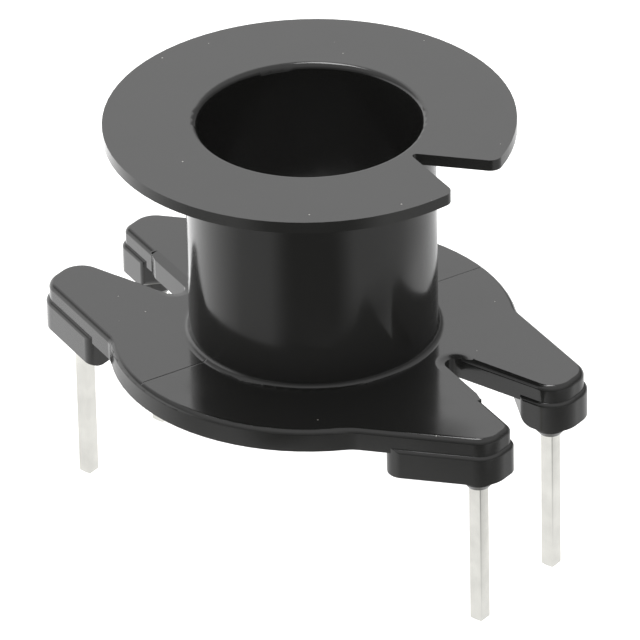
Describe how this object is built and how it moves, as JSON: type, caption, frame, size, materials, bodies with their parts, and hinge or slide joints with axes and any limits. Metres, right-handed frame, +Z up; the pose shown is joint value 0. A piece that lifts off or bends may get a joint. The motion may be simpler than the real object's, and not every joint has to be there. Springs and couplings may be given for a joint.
{
  "type": "transformer bobbin",
  "caption": "Moulded coil former with a thin round flange over a winding tube, and a legged base plate on square terminal pins, for a small ferrite transformer core.",
  "frame": {"origin": "on the bore's axis, in the plane of the pin tips", "axes": "+Z up the bore towards the thin flange, +X along the base plate towards the side where that flange is slotted"},
  "size_m": [0.0164, 0.012, 0.0136],
  "materials": {
    "black_moulding": "satin black moulding, glossier on the tube",
    "tinned_pin": "bright tinned wire"
  },
  "bodies": {
    "root": {"coil_former": "black_moulding", "terminal_pin_1": "tinned_pin", "terminal_pin_2": "tinned_pin", "terminal_pin_3": "tinned_pin", "terminal_pin_4": "tinned_pin"}
  },
  "joints": []
}
